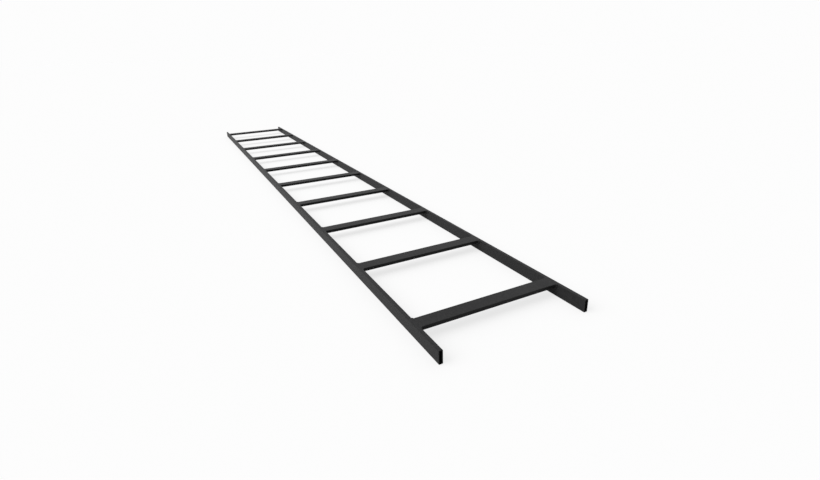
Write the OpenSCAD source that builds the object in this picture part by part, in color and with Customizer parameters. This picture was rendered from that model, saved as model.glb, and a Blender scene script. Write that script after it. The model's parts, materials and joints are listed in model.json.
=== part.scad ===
// Cable ladder section: two tubular stringers standing on edge, with flat
// tubular rungs butt-welded between them, their tops flush with the stringers.
// Units are millimetres. +Z is up, and the section runs along Y.
// The origin is the centre of the section's footprint, at floor level.

/* [Section] */
// Length of the section along Y, end to end
section_length = 3048; // [600:1:6000]
// Overall width across the outer faces of the stringers
section_width = 381; // [150:1:914]
// Distance from each end of the section to the centre of the nearest rung
end_overhang = 106.5; // [40:0.5:300]
// Number of rungs, spaced evenly between the two end rungs
rung_count = 10; // [2:1:24]

/* [Stringer tube] */
// Height of the stringer tube, which stands on edge
stringer_height = 31.75; // [20:0.05:80]
// Width of the stringer tube
stringer_width = 9.525; // [6:0.005:40]
// Wall thickness of the stringer tube
stringer_wall = 1.65; // [0.8:0.05:4]
// Outside corner radius of the stringer tube
stringer_corner = 1.6; // [0.2:0.1:4]

/* [Rung tube] */
// Width of the rung tube, which lies flat
rung_width = 38.1; // [15:0.1:80]
// Thickness of the rung tube
rung_thickness = 9.525; // [6:0.005:40]
// Wall thickness of the rung tube
rung_wall = 1.65; // [0.8:0.05:4]
// Outside corner radius of the rung tube
rung_corner = 1.6; // [0.2:0.1:4]

/* [Welds] */
// Radius of the weld bead in the corner between a rung and a stringer
weld_bead = 2.2; // [0.5:0.1:5]
// Depth to which a weld bead bites into the rung's wall
weld_bite = 0.8; // [0.2:0.1:2]
// Width of the flush weld that fills the groove on top of each joint
weld_flush = 1.1; // [0.3:0.1:1.5]
// Gap left between the flush weld and the stringer's rounded corner
weld_clearance = 0.03; // [0.01:0.01:0.2]

/* [Hidden] */
// Distance between the centres of neighbouring rungs
rung_pitch = (section_length - 2 * end_overhang) / (rung_count - 1);
// Length of a rung between the inner faces of the stringers
rung_length = section_width - 2 * stringer_width;
// Middle height of a rung whose top is flush with the stringers
rung_centre_z = stringer_height - rung_thickness / 2;
// Half of the rung's flat width, without its rounded corners
rung_flat_half = rung_width / 2 - rung_corner;
// Height of the straight bead up each face of a rung, to the flush top
weld_rise = rung_thickness - rung_corner;
// Depth of the weld that fills the rung's rounded upper corner
weld_cap = min(rung_corner, rung_wall);
// Length by which the flush weld runs out over the bead beside the rung
weld_run_out = weld_bead / 2;
// Clearance by which a cutting solid runs past the face it cuts
past = 1;
// Colour of the dark powder coat
coat_colour = [0.16, 0.16, 0.165];
// Fragments on a full circle
$fn = 48;

// Name of the rung at a place in the row, counted from the near end
function rung_name(place) = str("rung_", place < 9 ? "0" : "", place + 1);

// Rectangle centred on the origin, with true arcs at its corners
module rounded_rectangle(wide, tall, radius) {
    square([wide - 2 * radius, tall], center = true);
    square([wide, tall - 2 * radius], center = true);
    for (side_x = [-1, 1])
        for (side_y = [-1, 1])
            translate([side_x * (wide / 2 - radius), side_y * (tall / 2 - radius)])
                circle(r = radius);
}

// Wall of a rectangular tube, as a flat profile
module tube_profile(wide, tall, wall, radius) {
    difference() {
        rounded_rectangle(wide, tall, radius);
        rounded_rectangle(wide - 2 * wall, tall - 2 * wall, max(radius - wall, radius / 4));
    }
}

// One stringer: a straight open-ended tube standing on edge, on one side
module stringer(side) {
    translate([side * (section_width - stringer_width) / 2, 0, stringer_height / 2])
        rotate([90, 0, 0])
            linear_extrude(height = section_length, center = true)
                tube_profile(stringer_width, stringer_height, stringer_wall, stringer_corner);
}

// Profile of a bead: X runs along the rung, and Y out from its face
module bead_profile() {
    intersection() {
        circle(r = weld_bead);
        translate([0, -weld_bite])
            square([weld_bead + past, weld_bead + weld_bite + past]);
    }
}

// Bead round one lower corner of the rung, from its underside to its face
module corner_bead() {
    rotate([0, 90, 0])
        rotate_extrude(angle = 90)
            intersection() {
                translate([rung_corner, 0])
                    circle(r = weld_bead);
                translate([rung_corner - weld_bite, 0])
                    square([weld_bead + weld_bite + past, weld_bead + past]);
            }
}

// Half disc of weld at the top of a bead, over the rung's rounded corner
module cap_profile() {
    intersection() {
        circle(r = weld_bead);
        translate([0, -weld_bead - past])
            square([weld_bead + past, 2 * (weld_bead + past)]);
    }
}

// Bead up one face of the rung and round the lower corner beside it
module face_bead() {
    translate([0, rung_width / 2, rung_corner - rung_thickness / 2])
        linear_extrude(height = weld_rise)
            bead_profile();
    translate([0, rung_width / 2, rung_thickness / 2 - weld_cap])
        linear_extrude(height = weld_cap)
            cap_profile();
    translate([0, rung_flat_half, rung_corner - rung_thickness / 2])
        corner_bead();
}

// Weld filling the groove between the rung's top and the stringer's corner
module flush_weld() {
    rotate([90, 0, 0])
        linear_extrude(height = rung_width + 2 * weld_run_out, center = true)
            difference() {
                translate([-weld_flush, rung_thickness / 2 - stringer_corner])
                    square([weld_flush + weld_bite, stringer_corner]);
                translate([-stringer_corner, rung_thickness / 2 - stringer_corner])
                    circle(r = stringer_corner + weld_clearance);
            }
}

// Welds at the rung's end that meets the stringer on the -X side
module end_welds() {
    translate([-rung_length / 2, 0, 0]) {
        for (side = [0, 1])
            mirror([0, side, 0])
                face_bead();
        translate([0, 0, -rung_thickness / 2])
            rotate([-90, 0, 0])
                linear_extrude(height = 2 * rung_flat_half, center = true)
                    bead_profile();
        flush_weld();
    }
}

// One rung: a flat open-ended tube with its welds at both ends
module rung(place) {
    translate([0, end_overhang - section_length / 2 + place * rung_pitch, rung_centre_z]) {
        rotate([90, 0, 90])
            linear_extrude(height = rung_length, center = true)
                tube_profile(rung_width, rung_thickness, rung_wall, rung_corner);
        for (turn = [0, 1])
            mirror([turn, 0, 0])
                end_welds();
    }
}

module stringer_left() {
    color(coat_colour) stringer(-1);
}

module stringer_right() {
    color(coat_colour) stringer(1);
}

module rung_piece(place) {
    color(coat_colour) rung(place);
}

stringer_left();
stringer_right();
for (place = [0 : rung_count - 1])
    rung_piece(place);
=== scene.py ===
import json
import math
import random

import bmesh
import bpy
from mathutils import Matrix, Vector

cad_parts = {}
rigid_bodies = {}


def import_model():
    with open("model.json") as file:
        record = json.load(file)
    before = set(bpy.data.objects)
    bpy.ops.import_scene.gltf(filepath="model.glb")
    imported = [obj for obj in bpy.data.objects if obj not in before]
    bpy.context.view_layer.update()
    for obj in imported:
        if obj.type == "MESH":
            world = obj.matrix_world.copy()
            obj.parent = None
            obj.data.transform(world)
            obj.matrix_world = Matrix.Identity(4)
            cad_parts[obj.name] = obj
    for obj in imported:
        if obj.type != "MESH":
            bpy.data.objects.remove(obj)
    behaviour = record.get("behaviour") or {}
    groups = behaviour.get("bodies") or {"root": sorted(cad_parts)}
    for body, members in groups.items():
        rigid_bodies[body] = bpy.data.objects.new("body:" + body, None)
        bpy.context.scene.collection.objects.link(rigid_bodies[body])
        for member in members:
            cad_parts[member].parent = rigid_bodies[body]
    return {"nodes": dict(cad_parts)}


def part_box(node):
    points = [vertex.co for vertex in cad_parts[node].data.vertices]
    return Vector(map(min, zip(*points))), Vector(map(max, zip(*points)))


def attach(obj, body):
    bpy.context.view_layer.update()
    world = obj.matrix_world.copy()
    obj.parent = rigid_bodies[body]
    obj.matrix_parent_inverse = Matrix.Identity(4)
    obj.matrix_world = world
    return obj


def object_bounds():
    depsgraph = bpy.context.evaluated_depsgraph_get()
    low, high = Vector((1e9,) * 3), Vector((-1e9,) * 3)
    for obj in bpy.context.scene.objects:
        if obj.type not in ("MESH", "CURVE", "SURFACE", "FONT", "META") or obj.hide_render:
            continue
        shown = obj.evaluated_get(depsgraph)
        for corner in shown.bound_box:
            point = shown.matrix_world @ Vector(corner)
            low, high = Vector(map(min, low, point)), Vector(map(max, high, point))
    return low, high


for default_object in list(bpy.data.objects):
    bpy.data.objects.remove(default_object, do_unlink=True)

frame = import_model()
cad_low, cad_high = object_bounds()

MM = 0.001
STRINGERS = ["stringer_left", "stringer_right"]
RUNGS = sorted(name for name in frame["nodes"] if name.startswith("rung_"))

# Construction sizes, as in the part's source
TUBE_WALL = 1.65 * MM
RUNG_WIDTH = 38.1 * MM
RUNG_THICKNESS = 9.525 * MM
RUNG_CORNER = 1.6 * MM
TOP = cad_high.z


# ------------------------------------------------------------------ camera
IMAGE_WIDTH = 820
FOCAL_PIXELS = 466.1
SENSOR = 36.0
CLIP_NEAR = 0.01
CLIP_FAR = 200.0
CAMERA_BESIDE = -0.551
CAMERA_BEFORE_END = 0.6277
CAMERA_ABOVE_TOP = 0.5245
CAMERA_HEADING = math.radians(26.28)
CAMERA_DIP = math.radians(22.46)
CAMERA_ROLL = math.radians(2.17)


def make_camera():
    forward = Vector((math.sin(CAMERA_HEADING) * math.cos(CAMERA_DIP),
                      math.cos(CAMERA_HEADING) * math.cos(CAMERA_DIP),
                      -math.sin(CAMERA_DIP)))
    right = forward.cross(Vector((0, 0, 1))).normalized()
    down = forward.cross(right)
    rolled_right = right * math.cos(CAMERA_ROLL) + down * math.sin(CAMERA_ROLL)
    rolled_down = down * math.cos(CAMERA_ROLL) - right * math.sin(CAMERA_ROLL)
    data = bpy.data.cameras.new("camera")
    data.sensor_width = SENSOR
    data.lens = FOCAL_PIXELS * SENSOR / IMAGE_WIDTH
    data.clip_start = CLIP_NEAR
    data.clip_end = CLIP_FAR
    camera = bpy.data.objects.new("camera", data)
    bpy.context.scene.collection.objects.link(camera)
    place = (CAMERA_BESIDE, cad_low.y - CAMERA_BEFORE_END, TOP + CAMERA_ABOVE_TOP)
    turn = Matrix((rolled_right, -rolled_down, -forward)).transposed()
    camera.matrix_world = Matrix.Translation(place) @ turn.to_4x4()
    bpy.context.scene.camera = camera


make_camera()


# ------------------------------------------------------------------ materials
WHITE = (1, 1, 1, 1)
COAT_DARK = (0.0223, 0.0223, 0.0229, 1)
COAT_LIGHT = (0.0357, 0.0357, 0.0366, 1)
COAT_SPECULAR = 0.08
COAT_ROUGH = (0.46, 0.58)
WELD_ROUGH = (0.32, 0.44)
WELD_GRAIN = 0.5
MOTTLE_SHARE = 0.6
NOISE_RANGE = (0.3, 0.7)
PATCH_RANGE = (0.4, 0.6)
TINT_RANGE = (0.38, 0.62)
PIT_TONES = (0.80, 1.20)
PATCH_GLOSS = 0.035
PEEL_BUMP = (0.55, 0.20 * MM)
GRIT_BUMP = (0.40, 0.06 * MM)
STEEL_BARE = (0.19, 0.18, 0.17, 1)
STEEL_SCALE = (0.085, 0.058, 0.042, 1)
STEEL_RANGE = (0.42, 0.60)
STEEL_METALLIC = 0.6
WALL_FADE = 0.2 * MM
OVERSPRAY_DEPTH = 20 * MM
OVERSPRAY_FADE = 12 * MM
OVERSPRAY_WANDER = 6 * MM


def new_material(name):
    material = bpy.data.materials.new(name)
    material.use_nodes = True
    tree = material.node_tree
    tree.nodes.clear()
    return material, tree


def node(tree, kind, **values):
    made = tree.nodes.new(kind)
    for key, value in values.items():
        if key in made.inputs.keys():
            made.inputs[key].default_value = value
        else:
            setattr(made, key, value)
    return made


def spread(tree, value, low, high, at_low, at_high, smooth="LINEAR"):
    """value, carried from the range low to high over to the range at_low to at_high."""
    made = node(tree, "ShaderNodeMapRange", interpolation_type=smooth)
    made.inputs["From Min"].default_value = low
    made.inputs["From Max"].default_value = high
    made.inputs["To Min"].default_value = at_low
    made.inputs["To Max"].default_value = at_high
    tree.links.new(value, made.inputs["Value"])
    return made.outputs["Result"]


def math_node(tree, operation, first, second):
    """first and second are numbers or outputs."""
    made = node(tree, "ShaderNodeMath", operation=operation)
    for socket, value in zip(made.inputs, (first, second)):
        if isinstance(value, (int, float)):
            socket.default_value = value
        else:
            tree.links.new(value, socket)
    return made.outputs[0]


def offset(tree, value, middle):
    """How far value lies from middle, either way."""
    return math_node(tree, "ABSOLUTE", math_node(tree, "SUBTRACT", value, middle), 0.0)


def blend_colours(tree, amount, first, second, mode="MIX"):
    """first and second are colours or colour outputs, and amount is a number or an output."""
    made = node(tree, "ShaderNodeMix", data_type="RGBA", blend_type=mode)
    for place, value in ((0, amount), (6, first), (7, second)):
        socket = made.inputs[place]
        if isinstance(value, (int, float, tuple)):
            socket.default_value = value
        else:
            tree.links.new(value, socket)
    return made.outputs[2]


def bump(tree, height, strength, distance, below=None):
    made = node(tree, "ShaderNodeBump", Strength=strength, Distance=distance)
    tree.links.new(height, made.inputs["Height"])
    if below is not None:
        tree.links.new(below, made.inputs["Normal"])
    return made.outputs["Normal"]


def tube_inside(tree, position, wander):
    """1 on a stringer's bare inner walls, away from its two mouths, and 0 everywhere else.
    The left stringer is the right one's mirror image, so X counts either way."""
    axes = node(tree, "ShaderNodeSeparateXYZ")
    tree.links.new(position, axes.inputs[0])
    low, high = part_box("stringer_right")
    middle, half = (low + high) / 2, (high - low) / 2
    beside = offset(tree, offset(tree, axes.outputs["X"], 0.0), middle.x)
    above = offset(tree, axes.outputs["Z"], middle.z)
    along = math_node(tree, "ADD", offset(tree, axes.outputs["Y"], middle.y),
                      spread(tree, wander, *NOISE_RANGE, -OVERSPRAY_WANDER, OVERSPRAY_WANDER))
    mask = None
    for distance, reach, fade in ((beside, half.x - TUBE_WALL / 2, WALL_FADE),
                                  (above, half.z - TUBE_WALL / 2, WALL_FADE),
                                  (along, half.y - OVERSPRAY_DEPTH, OVERSPRAY_FADE)):
        part = spread(tree, distance, reach - fade, reach + fade, 1.0, 0.0, "SMOOTHSTEP")
        mask = part if mask is None else math_node(tree, "MULTIPLY", mask, part)
    return mask


def powder_coat(name, grain=1.0, rough=COAT_ROUGH, tube=False):
    """Black powder coat: fine orange peel, a finer grit and faint changes of tone and gloss.
    With tube, the walls inside the stringers go over to bare steel behind the overspray."""
    material, tree = new_material(name)
    link = tree.links.new
    out = node(tree, "ShaderNodeOutputMaterial")
    shader = node(tree, "ShaderNodeBsdfPrincipled")
    shader.inputs["Specular IOR Level"].default_value = COAT_SPECULAR
    place = node(tree, "ShaderNodeTexCoord")
    cloud = node(tree, "ShaderNodeTexNoise", Scale=9.0, Detail=3.0, Roughness=0.5)
    mottle = node(tree, "ShaderNodeTexNoise", Scale=130.0, Detail=4.0, Roughness=0.6)
    peel = node(tree, "ShaderNodeTexNoise", Scale=420.0, Detail=2.0, Roughness=0.45)
    grit = node(tree, "ShaderNodeTexNoise", Scale=1900.0, Detail=1.0, Roughness=0.5)
    for texture in (cloud, mottle, peel, grit):
        link(place.outputs["Object"], texture.inputs["Vector"])
    patches = node(tree, "ShaderNodeMix", data_type="FLOAT")
    patches.inputs[0].default_value = MOTTLE_SHARE
    link(cloud.outputs["Fac"], patches.inputs[2])
    link(mottle.outputs["Fac"], patches.inputs[3])
    tint = node(tree, "ShaderNodeValToRGB")
    for stop, at, colour in zip(tint.color_ramp.elements, TINT_RANGE, (COAT_DARK, COAT_LIGHT)):
        stop.position = at
        stop.color = colour
    link(patches.outputs[0], tint.inputs["Fac"])
    pits = spread(tree, grit.outputs["Fac"], *NOISE_RANGE, *PIT_TONES)
    colour = blend_colours(tree, 1.0, tint.outputs["Color"], pits, "MULTIPLY")
    gloss = math_node(tree, "ADD", spread(tree, peel.outputs["Fac"], *NOISE_RANGE, *rough),
                      spread(tree, patches.outputs[0], *PATCH_RANGE, -PATCH_GLOSS, PATCH_GLOSS))
    if tube:
        inside = tube_inside(tree, place.outputs["Object"], mottle.outputs["Fac"])
        scale = spread(tree, patches.outputs[0], *STEEL_RANGE, 0.0, 1.0)
        steel = blend_colours(tree, scale, STEEL_SCALE, STEEL_BARE)
        colour = blend_colours(tree, inside, colour, steel)
        link(math_node(tree, "MULTIPLY", inside, STEEL_METALLIC), shader.inputs["Metallic"])
    link(colour, shader.inputs["Base Color"])
    link(gloss, shader.inputs["Roughness"])
    peel_normal = bump(tree, peel.outputs["Fac"], PEEL_BUMP[0] * grain, PEEL_BUMP[1])
    grit_normal = bump(tree, grit.outputs["Fac"], GRIT_BUMP[0] * grain, GRIT_BUMP[1], peel_normal)
    link(grit_normal, shader.inputs["Normal"])
    link(shader.outputs["BSDF"], out.inputs["Surface"])
    return material


coat = powder_coat("powder_coat")
tube_coat = powder_coat("powder_coat_tube", tube=True)
weld_coat = powder_coat("powder_coat_weld", grain=WELD_GRAIN, rough=WELD_ROUGH)

for name in STRINGERS + RUNGS:
    for slot in frame["nodes"][name].material_slots:
        slot.material = tube_coat if name in STRINGERS else coat


# ------------------------------------------------------------------ weld beads
BEAD_LEG = 3.1 * MM
BEAD_TOP_LEG = 2.3 * MM
BEAD_SHOULDER = 1.3 * MM
BEAD_EMBED = 0.35 * MM
BEAD_TOP_EMBED = 1.5 * MM
BEAD_STEP = 0.27 * MM
BEAD_BELOW_TOP = 0.015 * MM
BEAD_ARC_POINTS = 9
BEAD_FLATNESS = 0.12
RIPPLE_PITCH = 2.3 * MM
RIPPLE_DEPTH = 0.25
RIPPLE_CURVE = 0.40
RIPPLE_SHARPNESS = 0.7
RIPPLE_MEAN = 0.65
RIPPLE_AT_TOES = 0.4
JITTER = 0.22
JITTER_LENGTH = 4.7 * MM
WANDER = 0.04
WANDER_LENGTHS = (7.3 * MM, 3.1 * MM)
EDGE_STATIONS = [0.0, 0.04 * MM, 0.13 * MM]
WELD_SEED = 41


def bead_path(middle_y):
    """Stations round the rung's underside from one flush edge to the other, as
    (length along, depth below the flush top, y, z, normal y, normal z)."""
    half = RUNG_WIDTH / 2
    bottom = TOP - RUNG_THICKNESS
    start = TOP - BEAD_BELOW_TOP
    rise = start - bottom - RUNG_CORNER
    turn = RUNG_CORNER * math.pi / 2
    flat = 2 * (half - RUNG_CORNER)
    total = 2 * rise + 2 * turn + flat
    count = int(round(total / BEAD_STEP))
    stations = [total * i / count for i in range(1, count)]
    stations += EDGE_STATIONS + [total - edge for edge in EDGE_STATIONS]
    points = []
    for along in sorted(stations):
        mirrored = along > total / 2
        back = total - along if mirrored else along
        side = 1 if mirrored else -1
        if back < rise:
            y, z, ny, nz = side * half, start - back, side, 0.0
        elif back < rise + turn:
            angle = (back - rise) / RUNG_CORNER
            ny, nz = side * math.cos(angle), -math.sin(angle)
            y = side * (half - RUNG_CORNER) + ny * RUNG_CORNER
            z = bottom + RUNG_CORNER + nz * RUNG_CORNER
        else:
            y, z, ny, nz = along - total / 2, bottom, 0.0, -1.0
        points.append((along, back, middle_y + y, z, ny, nz))
    return points


def bead_mesh(work, middle_y, face_x, inward, dice):
    """One rippled fillet weld along bead_path, as a closed strip of quads."""
    phases = [dice.uniform(0, 2 * math.pi) for _ in range(3)]
    lead = dice.uniform(0, 1)
    rings = []
    for along, depth, y, z, ny, nz in bead_path(middle_y):
        wander = sum(math.sin(along / length + phase)
                     for length, phase in zip(WANDER_LENGTHS, phases)) / 2
        jitter = lead + JITTER * math.sin(along / JITTER_LENGTH + phases[2])
        shoulder = math.sqrt(1 - (1 - min(depth / BEAD_SHOULDER, 1)) ** 2)
        embed = BEAD_TOP_EMBED + (BEAD_EMBED - BEAD_TOP_EMBED) * min(depth / RUNG_CORNER, 1)
        leg = BEAD_TOP_LEG + (BEAD_LEG - BEAD_TOP_LEG) * shoulder
        ring = []
        for k in range(BEAD_ARC_POINTS):
            angle = math.pi / 2 * k / (BEAD_ARC_POINTS - 1)
            crown = math.sin(2 * angle)
            ripple = along / RIPPLE_PITCH + RIPPLE_CURVE * crown + jitter
            crest = abs(math.sin(math.pi * ripple)) ** RIPPLE_SHARPNESS - RIPPLE_MEAN
            depth_here = RIPPLE_DEPTH * (RIPPLE_AT_TOES + (1 - RIPPLE_AT_TOES) * crown)
            reach = leg * (1 + shoulder * (WANDER * wander + depth_here * crest
                                           - BEAD_FLATNESS * crown))
            ring.append((reach * math.cos(angle), reach * math.sin(angle)))
        ring.insert(0, (ring[0][0], -embed))
        ring.append((-embed, ring[-1][1]))
        ring.append((-embed, -embed))
        rings.append([work.verts.new((face_x + inward * a, y + ny * n, z + nz * n))
                      for a, n in ring])
    size = len(rings[0])
    for here, there in zip(rings, rings[1:]):
        for k in range(size):
            work.faces.new((here[k], here[(k + 1) % size], there[(k + 1) % size], there[k]))
    work.faces.new(list(reversed(rings[0])))
    work.faces.new(rings[-1])


def make_welds():
    dice = random.Random(WELD_SEED)
    for rung in RUNGS:
        low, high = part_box(rung)
        middle_y = (low.y + high.y) / 2
        for side, face_x, inward in (("left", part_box("stringer_left")[1].x, 1),
                                     ("right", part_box("stringer_right")[0].x, -1)):
            work = bmesh.new()
            bead_mesh(work, middle_y, face_x, inward, dice)
            bmesh.ops.recalc_face_normals(work, faces=work.faces)
            mesh = bpy.data.meshes.new("weld_" + side + rung[-3:])
            work.to_mesh(mesh)
            work.free()
            mesh.polygons.foreach_set("use_smooth", [len(p.vertices) == 4 for p in mesh.polygons])
            weld = bpy.data.objects.new(mesh.name, mesh)
            bpy.context.scene.collection.objects.link(weld)
            mesh.materials.append(weld_coat)
            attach(weld, "root")


make_welds()


# ------------------------------------------------------------------ floor, light
FLOOR_HALF = 80.0
FLOOR_COLOUR = 0.26
FLOOR_LIFT = 0.753
BACKGROUND = 0.98
SKY_LOW = 0.04
SKY_HIGH = 0.82
SKY_FROM = 0.10
SKY_TO = 0.45
FRONT_DIM = 0.05
FRONT_FROM = -0.80
FRONT_TO = 0.20
KEY_STRENGTH = 1.6
KEY_HEADING = math.radians(280)
KEY_HEIGHT = math.radians(42)
KEY_SOFTNESS = math.radians(50)


def background_rays(tree):
    """1 where a ray comes from the camera or off a glossy or clear surface, and 0 elsewhere."""
    rays = node(tree, "ShaderNodeLightPath")
    total = None
    for kind in ("Is Camera Ray", "Is Glossy Ray", "Is Transmission Ray"):
        if total is None:
            total = rays.outputs[kind]
            continue
        total = math_node(tree, "MAXIMUM", total, rays.outputs[kind])
    return total


def make_floor():
    mesh = bpy.data.meshes.new("floor")
    work = bmesh.new()
    bmesh.ops.create_grid(work, x_segments=1, y_segments=1, size=FLOOR_HALF)
    work.to_mesh(mesh)
    work.free()
    floor = bpy.data.objects.new("floor", mesh)
    floor.location.z = cad_low.z
    bpy.context.scene.collection.objects.link(floor)
    material, tree = new_material("pale_floor")
    out = node(tree, "ShaderNodeOutputMaterial")
    diffuse = node(tree, "ShaderNodeBsdfDiffuse", Color=(FLOOR_COLOUR,) * 3 + (1,))
    lift = node(tree, "ShaderNodeEmission", Color=WHITE)
    strength = math_node(tree, "MULTIPLY", background_rays(tree), FLOOR_LIFT)
    tree.links.new(strength, lift.inputs["Strength"])
    both = node(tree, "ShaderNodeAddShader")
    tree.links.new(diffuse.outputs["BSDF"], both.inputs[0])
    tree.links.new(lift.outputs["Emission"], both.inputs[1])
    tree.links.new(both.outputs["Shader"], out.inputs["Surface"])
    mesh.materials.append(material)


make_floor()


def sun_light(name, heading, height, softness, strength):
    """A broad soft lamp. heading is where it stands, clockwise from +Y seen from above."""
    data = bpy.data.lights.new(name, "SUN")
    data.energy = strength
    data.angle = softness
    light = bpy.data.objects.new(name, data)
    toward = Vector((math.sin(heading) * math.cos(height),
                     math.cos(heading) * math.cos(height),
                     math.sin(height)))
    light.rotation_mode = "QUATERNION"
    light.rotation_quaternion = toward.to_track_quat("Z", "Y")
    bpy.context.scene.collection.objects.link(light)


sun_light("key", KEY_HEADING, KEY_HEIGHT, KEY_SOFTNESS, KEY_STRENGTH)


def make_world():
    """A studio with one wide soft ceiling, dim at its walls and towards the section's near
    end. Rays that show a background see plain white instead."""
    world = bpy.data.worlds.new("studio")
    bpy.context.scene.world = world
    world.use_nodes = True
    tree = world.node_tree
    tree.nodes.clear()
    link = tree.links.new
    place = node(tree, "ShaderNodeTexCoord")
    axes = node(tree, "ShaderNodeSeparateXYZ")
    link(place.outputs["Generated"], axes.inputs[0])
    ceiling = spread(tree, axes.outputs["Z"], SKY_FROM, SKY_TO, SKY_LOW, SKY_HIGH, "SMOOTHSTEP")
    depth = spread(tree, axes.outputs["Y"], FRONT_FROM, FRONT_TO, FRONT_DIM, 1.0, "SMOOTHSTEP")
    studio = node(tree, "ShaderNodeBackground", Color=WHITE)
    link(math_node(tree, "MULTIPLY", ceiling, depth), studio.inputs["Strength"])
    white = node(tree, "ShaderNodeBackground", Color=WHITE, Strength=BACKGROUND)
    pick = node(tree, "ShaderNodeMixShader")
    out = node(tree, "ShaderNodeOutputWorld")
    link(background_rays(tree), pick.inputs[0])
    link(studio.outputs[0], pick.inputs[1])
    link(white.outputs[0], pick.inputs[2])
    link(pick.outputs[0], out.inputs["Surface"])


make_world()

bpy.context.scene.view_settings.view_transform = "Standard"
